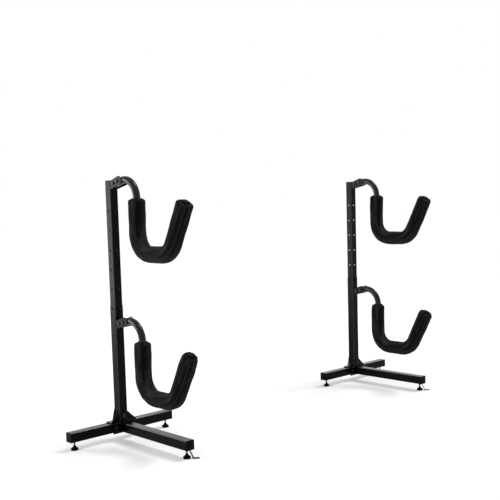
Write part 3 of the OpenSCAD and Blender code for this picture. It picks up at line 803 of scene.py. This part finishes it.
def arm_plug(side, level, body):
    """Dished plug with a lip on the arm's tip, and its grooved shank inside the tube."""
    start = sleeve_start(side, level)
    tip = ring_matrix(start, SLEEVE_LEN + SLEEVE_SETBACK)
    shank_r = 17 * MM
    groove_r = shank_r - 0.6 * MM
    plug = lathe([
        (0, -18 * MM), (shank_r - 1.2 * MM, -18 * MM), (shank_r, -16.5 * MM),
        (shank_r, -12 * MM), (groove_r, -11.4 * MM), (groove_r, -8 * MM), (shank_r, -7.4 * MM),
        (shank_r, -0.2 * MM), (ARM_R - 0.3 * MM, 0), (ARM_R, 0.4 * MM), (ARM_R, 1.6 * MM),
        (ARM_R - 0.7 * MM, 2.6 * MM), (ARM_R - PLUG_WALL, PLUG_T), (ARM_R - 5 * MM, PLUG_T),
        (ARM_R - 6 * MM, PLUG_T - 0.7 * MM), (0, PLUG_T - 0.7 * MM),
    ], 48)
    bm = bmesh.new()
    joined(bm, plug, tip)
    piece = finish_piece(f"{side}_{level}_tip_plug", bm, PLASTIC, body, 40)
    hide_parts(f"{side}_{level}_plug")


def capped_square(width, plug_width, depth):
    """Tube cap from 0 up with softened edges; its plug reaches down into the tube."""
    bm = bmesh.new()
    bmesh.ops.create_cube(bm, size=1)
    bmesh.ops.scale(bm, verts=bm.verts, vec=(width, width, CAP_T))
    bmesh.ops.translate(bm, verts=bm.verts, vec=(0, 0, CAP_T / 2))
    uprights = [e for e in bm.edges if abs(e.verts[0].co.z - e.verts[1].co.z) > CAP_T / 2]
    bmesh.ops.bevel(
        bm, geom=uprights, offset=TUBE_CORNER, affect="EDGES", segments=6, profile=0.5, material=-1
    )
    top = [e for e in bm.edges if all(v.co.z > CAP_T * 0.9 for v in e.verts)]
    bmesh.ops.bevel(
        bm, geom=top, offset=1.1 * MM, affect="EDGES", segments=3, profile=0.5, material=-1
    )
    plug = bmesh.new()
    bmesh.ops.create_cube(plug, size=1)
    bmesh.ops.scale(plug, verts=plug.verts, vec=(plug_width, plug_width, depth))
    bmesh.ops.translate(plug, verts=plug.verts, vec=(0, 0, -depth / 2))
    uprights = [e for e in plug.edges if abs(e.verts[0].co.z - e.verts[1].co.z) > depth / 2]
    bmesh.ops.bevel(
        plug, geom=uprights, offset=2 * MM, affect="EDGES", segments=4, profile=0.5, material=-1
    )
    joined(bm, plug, Matrix.Identity(4))
    return bm


def end_caps(side):
    left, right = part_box(f"{side}_cross_beam")
    front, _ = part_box(f"{side}_forward_leg")
    centre = post_centre(side)
    middle = (left.z + right.z) / 2
    width = right.z - left.z
    two_walls = 4.4 * MM
    bm = bmesh.new()
    for at in (
        Matrix.Translation((left.x, centre.y, middle)) @ TO_RIGHT.inverted(),
        Matrix.Translation((right.x, centre.y, middle)) @ TO_RIGHT,
        Matrix.Translation((centre.x, front.y, middle)) @ TO_BACK.inverted(),
    ):
        joined(bm, capped_square(width, width - two_walls, CAP_DEPTH), at)
    piece = finish_piece(f"{side}_tube_caps", bm, PLASTIC, f"{side}_stand")
    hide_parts(f"{side}_end_caps")


def post_cap(side):
    low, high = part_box(f"{side}_upper_post")
    centre = post_centre(side)
    width = high.x - low.x
    two_walls = 3.4 * MM
    bm = bmesh.new()
    at = Matrix.Translation((centre.x, centre.y, high.z))
    joined(bm, capped_square(width, width - two_walls, CAP_DEPTH), at)
    piece = finish_piece(f"{side}_post_top_cap", bm, PLASTIC, f"{side}_mast")
    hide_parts(f"{side}_post_cap")


# ---- Sleeves ----

def sleeve_start(side, level):
    """Top of the rear leg on the arm's centre line, from the sleeve's own box."""
    low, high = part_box(f"{side}_{level}_pad")
    x = (low.x + high.x) / 2
    return Vector((x, high.y - SLEEVE_R, low.z + SLEEVE_R + BEND_R + REAR_LEG))


# Length and turn of each stretch of the centre line, from the rear leg's top to the tip
SLEEVE_STEPS = (
    (REAR_LEG, 0),
    (BEND_R * math.radians(90), math.radians(90)),
    (CRADLE_FLOOR, 0),
    (BEND_R * (math.radians(90) - FRONT_LEAN), math.radians(90) - FRONT_LEAN),
    (FRONT_LEG - SLEEVE_SETBACK, 0),
)
SLEEVE_LEN = sum(length for length, _ in SLEEVE_STEPS)
FIRST_BEND = REAR_LEG + SLEEVE_STEPS[1][0] / 2
SECOND_BEND = REAR_LEG + SLEEVE_STEPS[1][0] + CRADLE_FLOOR + SLEEVE_STEPS[3][0] / 2
GATHERS = 11


def on_centre_line(start, distance):
    """Point, heading and inward side of the arm's centre line at a distance from its start."""
    point = start.copy()
    heading = math.radians(-90)
    left = distance
    for index, (length, turn) in enumerate(SLEEVE_STEPS):
        last = index == len(SLEEVE_STEPS) - 1
        step = left if last else min(left, length)
        if turn:
            angle = step / BEND_R
            after = heading + angle
            point += Vector((
                0,
                -BEND_R * (math.sin(after) - math.sin(heading)),
                BEND_R * (math.cos(heading) - math.cos(after)),
            ))
            heading = after
        else:
            point += Vector((0, -math.cos(heading) * step, math.sin(heading) * step))
        left -= step
        if left <= 1e-9:
            break
    along = Vector((0, -math.cos(heading), math.sin(heading)))
    inward = Vector((0, math.sin(heading), math.cos(heading)))
    return point, along, inward


def ring_matrix(start, distance):
    """Frame on the centre line: X is the rack's X, Y the inside of the bends, Z along."""
    point, along, inward = on_centre_line(start, distance)
    across = inward.cross(along)
    return Matrix.Translation(point) @ Matrix((across, inward, along)).transposed().to_4x4()


def swept_tube(start, outline, segments):
    """A closed tube: outline is a loop of (distance along, radius) points."""
    bm = bmesh.new()
    circle = [(math.cos(TURN * k / segments), math.sin(TURN * k / segments))
              for k in range(segments)]
    frames = [ring_matrix(start, distance) for distance, _ in outline]
    unit = [[(radius * x, radius * y) for x, y in circle] for _, radius in outline]
    ring_stack(bm, frames, unit, closed=True)
    edges = [e for e in bm.edges if len(e.link_faces) == 1]
    bmesh.ops.bridge_loops(bm, edges=edges)
    bmesh.ops.recalc_face_normals(bm, faces=bm.faces)
    return bm


def sleeve_outline(radius, bore, edge, spacing):
    """Bore and skin of the sleeve as (distance, radius) points; edge is (along, inward)."""
    along, inward = edge
    arc = [math.radians(15 * i) for i in range(7)]
    points = [
        (along * (1 - math.sin(a)), radius - inward * (1 - math.cos(a))) for a in arc[::-1]
    ]
    count = round((SLEEVE_LEN - 2 * along) / spacing)
    for i in range(1, count):
        points.append((along + (SLEEVE_LEN - 2 * along) * i / count, radius))
    points += [
        (SLEEVE_LEN - along * (1 - math.sin(a)), radius - inward * (1 - math.cos(a))) for a in arc
    ]
    steps = 12
    back = [(SLEEVE_LEN * i / steps, bore) for i in range(steps, -1, -1)]
    return points + back


def nearest_on_line(start):
    """Finds (distance along, point, heading, inward side) near the sleeve's centre line."""
    count = 240
    marks = [SLEEVE_LEN * i / count for i in range(count + 1)]
    spots = [on_centre_line(start, mark) for mark in marks]
    tree = KDTree(count + 1)
    for i, spot in enumerate(spots):
        tree.insert(spot[0], i)
    tree.balance()

    def find(co):
        _, best, _ = tree.find(co)
        point, along, inward = spots[best]
        return marks[best] + (co - point).dot(along), point, along, inward
    return find


def smooth_between(value, low, high):
    t = min(max((value - low) / (high - low), 0), 1)
    return t * t * (3 - 2 * t)


def gathered(angle, seed):
    """From -1 to 1: the cloth's uneven gathers round an end of the sleeve."""
    return math.cos(GATHERS * angle + 2 * math.sin(2 * angle + seed))


def crumple(verts, find, pucker, draw, seed, share):
    """Gathers the cloth at both ends, draws its tip in and folds it along and in the bends."""
    hem, tip_length = (4 * MM, 42 * MM), 60 * MM
    end_gather, bend_fold = 0.8 * MM, 2.2 * MM
    fold_pitch = 19 * MM
    long_fold, dent, pleat = 1.7 * MM, 1.3 * MM, 0.7 * MM
    drift = Vector((seed * 3.7, seed * 1.9, 0))
    for v in verts:
        distance, point, along, inward = find(v.co)
        off = v.co - point
        off -= along * off.dot(along)
        radius = off.length
        if radius < ARM_R + 4 * MM:
            continue
        away = off / radius
        angle = math.atan2(away.x, away.dot(inward))
        ends = 1 - smooth_between(min(distance, SLEEVE_LEN - distance), *hem)
        tip = smooth_between(distance, SLEEVE_LEN - tip_length, SLEEVE_LEN)
        move = (end_gather + pucker * tip) * ends * gathered(angle, seed) - draw * tip
        inner = max(0, 0.75 * math.cos(angle) + 0.25) ** 1.3
        wander = noise.noise(v.co * 22 + drift) * 1.6
        wave = math.sin(distance * TURN / fold_pitch + wander * 2.2)
        for bend, half in ((FIRST_BEND, 100 * MM), (SECOND_BEND, 85 * MM)):
            near = max(0, 1 - abs(distance - bend) / half)
            move += bend_fold * near * inner * wave
        drawn = Vector((distance * 5, math.cos(angle) * 2.6, math.sin(angle) * 2.6))
        move += long_fold * noise.noise(drawn + drift)
        move += dent * noise.noise(v.co * 16 + drift) + pleat * noise.noise(v.co * 38 - drift)
        v.co += away * max(move * share, ARM_R + 2 * MM - radius)


def simulated(piece, find):
    """Cloth inflated a little over its foam, applied to the mesh with its travel capped."""
    cap = 3.5 * MM
    pin_r = ARM_R + 5 * MM
    last_frame = 20
    remesh = piece.modifiers.new("remesh", "REMESH")
    remesh.mode = "VOXEL"
    remesh.voxel_size = 5 * MM
    applied(piece)
    held = piece.vertex_groups.new(name="held")
    rest = [v.co.copy() for v in piece.data.vertices]
    for i, co in enumerate(rest):
        _, point, along, _ = find(co)
        off = co - point
        off -= along * off.dot(along)
        if off.length < pin_r:
            held.add([i], 1.0, "REPLACE")
    cloth = piece.modifiers.new("cloth", "CLOTH")
    settings = cloth.settings
    settings.quality = 5
    settings.mass = 0.25
    settings.tension_stiffness = 18
    settings.compression_stiffness = 12
    settings.shear_stiffness = 8
    settings.bending_stiffness = 0.4
    settings.use_pressure = True
    settings.uniform_pressure_force = 4
    settings.shrink_min = -0.035
    settings.vertex_group_mass = "held"
    settings.effector_weights.gravity = 0
    cloth.point_cache.frame_start = 1
    cloth.point_cache.frame_end = last_frame
    for number in range(1, last_frame + 1):
        bpy.context.scene.frame_set(number)
    applied(piece)
    bpy.context.scene.frame_set(1)
    for v, co in zip(piece.data.vertices, rest):
        move = v.co - co
        if move.length > cap:
            v.co = co + move * (cap / move.length)


def applied(piece):
    """Bakes the piece's modifiers into its mesh."""
    seen = piece.evaluated_get(bpy.context.evaluated_depsgraph_get())
    mesh = bpy.data.meshes.new_from_object(seen)
    old = piece.data
    piece.modifiers.clear()
    piece.data = mesh
    bpy.data.meshes.remove(old)


def wrap_attribute(mesh, find):
    """Stores each point's distance along the sleeve and its place round it, for the weave."""
    data = mesh.attributes.new("wrap", "FLOAT_VECTOR", "POINT").data
    for v in mesh.vertices:
        distance, point, _, inward = find(v.co)
        off = v.co - point
        data[v.index].vector = (distance, off.dot(inward), off.x)


def hem_rings(bm, start, pucker, seed):
    """Rolled binding that closes each end of the sleeve round the arm tube."""
    thick = 3.2 * MM
    middle_r = ARM_R + 5.5 * MM
    steps = 10
    turns = [TURN * i / steps for i in range(steps + 1)]
    for distance, out, most in ((0, -1, 1.0), (SLEEVE_LEN, 1, 1.0 + pucker / (2 * MM))):
        loop = [(middle_r + thick * math.cos(a), 0.8 * thick * math.sin(a)) for a in turns]
        ring = lathe(loop, 88)
        for v in ring.verts:
            angle = math.atan2(v.co.y, v.co.x)
            v.co.z += 0.5 * MM * most * gathered(angle, seed)
            reach = 1 + 0.022 * most * math.cos(2 * GATHERS * angle + seed)
            v.co.x *= reach
            v.co.y *= reach
        joined(bm, ring, ring_matrix(start, distance + out * 0.6 * MM))


def seam(bm, skin, start):
    """Flat-felled seam with two rows of stitches, low on the outer side of the sleeve."""
    tree = BVHTree.FromPolygons(
        [v.co for v in skin.vertices], [tuple(p.vertices) for p in skin.polygons]
    )
    lean = math.radians(24)
    margin = 16 * MM
    spacing = 4 * MM
    stitch_every = 6.5 * MM
    stitch_size = (0.5 * MM, 0.45 * MM, 2.1 * MM)
    proud = 0.8 * MM

    def on_skin(distance, sideways):
        point, along, inward = on_centre_line(start, distance)
        turn = lean + sideways / SLEEVE_R
        outward = -inward * math.cos(turn) + Vector((math.sin(turn), 0, 0))
        hit = tree.ray_cast(point + outward * (ARM_R + 6 * MM), outward, 60 * MM)[0]
        place = hit if hit else point + outward * SLEEVE_R
        across = outward.cross(along)
        turned = Matrix((across, outward, along)).transposed().to_4x4()
        return Matrix.Translation(place) @ turned

    count = round((SLEEVE_LEN - 2 * margin) / spacing)
    frames = [on_skin(margin + spacing * i, 0) for i in range(count + 1)]
    steps = 12
    welt = [(3.4 * MM * math.cos(TURN * k / steps), 1.1 * MM * math.sin(TURN * k / steps))
            for k in range(steps)]
    part = bmesh.new()
    ring_stack(part, frames, [welt] * len(frames))
    bmesh.ops.recalc_face_normals(part, faces=part.faces)
    joined(bm, part, Matrix.Identity(4))
    for i in range(int((SLEEVE_LEN - 2 * margin) / stitch_every)):
        for sideways in (-2.0 * MM, 2.0 * MM):
            at = on_skin(margin + stitch_every * (i + 0.5), sideways)
            stitch = bmesh.new()
            bmesh.ops.create_icosphere(stitch, subdivisions=1, radius=1)
            bmesh.ops.scale(stitch, verts=stitch.verts, vec=stitch_size)
            joined(bm, stitch, at @ Matrix.Translation((0, proud, 0)))


def sleeve(side, level, body, pucker, draw, seed):
    """Foam sleeve in its cloth skin, with its hems, seam and stitches as a second piece."""
    start = sleeve_start(side, level)
    find = nearest_on_line(start)
    slim = 2.5 * MM
    end_edge = (20 * MM, 15 * MM)
    before_cloth, after_cloth = 0.5, 0.7
    outline = sleeve_outline(SLEEVE_R - slim, ARM_R + 1 * MM, end_edge, 4 * MM)
    bm = swept_tube(start, outline, 72)
    crumple(bm.verts, find, pucker, draw, seed, before_cloth)
    name = f"{side}_{level}_sleeve"
    mesh = bpy.data.meshes.new(name)
    bm.to_mesh(mesh)
    bm.free()
    piece = bpy.data.objects.new(name, mesh)
    bpy.context.scene.collection.objects.link(piece)
    simulated(piece, find)
    crumple(piece.data.vertices, find, pucker, draw, seed, after_cloth)
    piece.data.materials.clear()
    piece.data.materials.append(FABRIC)
    piece.data.shade_smooth()
    wrap_attribute(piece.data, find)
    trim = bmesh.new()
    hem_rings(trim, start, pucker, seed)
    seam(trim, piece.data, start)
    finer = piece.modifiers.new("finer", "SUBSURF")
    finer.levels = 1
    finer.render_levels = 1
    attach(piece, body)
    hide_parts(f"{side}_{level}_pad")
    # The binding carries the lighter fabric, a painted highlight on the end rims.
    edging = finish_piece(f"{name}_binding", trim, BINDING_PAINTED_HIGHLIGHT, body, 60)
    wrap_attribute(edging.data, find)


# ---- Assembly ----

add_camera()
add_world()
add_lamps()
add_floor()

PEEL = orange_peel_group()
WEAR = edge_wear_group()
COAT = powder_coat("satin_powder_coat", PEEL, WEAR)
TUBE_COAT = powder_coat("square_tube_coat", PEEL, WEAR, rounded_corner_group())
ARM_COAT = powder_coat("arm_tube_coat", PEEL, WEAR, film=0.4)
PLASTIC = moulded_plastic(PEEL)
STEEL = black_steel(PEEL, WEAR)
WEAVE = weave_group()
FABRIC = sleeve_fabric(WEAVE, "sleeve_fabric", 0.0005, 0.031)
# The binding's fabric is lighter in its dark parts than the sleeve's: a painted highlight on the
# sleeves' end rims.
BINDING_PAINTED_HIGHLIGHT = sleeve_fabric(WEAVE, "binding_tape_painted_highlight", 0.004, 0.026)
FINISHES = {
    "frame_paint": COAT,
    "moulded_plastic": PLASTIC,
    "black_fasteners": STEEL,
    "padded_fabric": FABRIC,
}

# Square and round tubes have their own coat, the other painted pieces the plain one
SQUARE_TUBES = ("cross_beam", "forward_leg", "lower_post", "upper_post")
ROUND_TUBES = ("lower_arm", "upper_arm")

for part in frame["record"]["subparts"]:
    finish = FINISHES[part["material_slot"]]
    if part["node"].endswith(SQUARE_TUBES):
        finish = TUBE_COAT
    elif part["node"].endswith(ROUND_TUBES):
        finish = ARM_COAT
    for slot in frame["nodes"][part["node"]].material_slots:
        slot.material = finish

# How far each sleeve's tip puckers and is drawn in, and the seed of its folds
SLEEVES = {
    ("left", "lower"): (3.5 * MM, 4.2 * MM, 1),
    ("left", "upper"): (1.5 * MM, 0, 2),
    ("right", "lower"): (1.0 * MM, 0, 3),
    ("right", "upper"): (0.6 * MM, 0, 4),
}

for side in SIDES:
    bolts_along_y(side, "flange_bolts", BIG_BOLT, "flange_bolt_sets", 2)
    bolts_along_y(side, "foot_bolt", BIG_BOLT, "post_foot_bolt", 1)
    foot_screws(side)
    leveller_nuts(side)
    base_welds(side)
    end_caps(side)
    post_cap(side)
    for foot, centre, top in leveller_places(side):
        levelling_foot(side, foot, centre, top)
    for level in LEVELS:
        body = f"{side}_stand" if level == "lower" else f"{side}_mast"
        arm_bolts(side, level, body)
        bracket_welds(side, level, body)
        arm_plug(side, level, body)
        sleeve(side, level, body, *SLEEVES[side, level])

bpy.context.scene.view_settings.view_transform = "Standard"
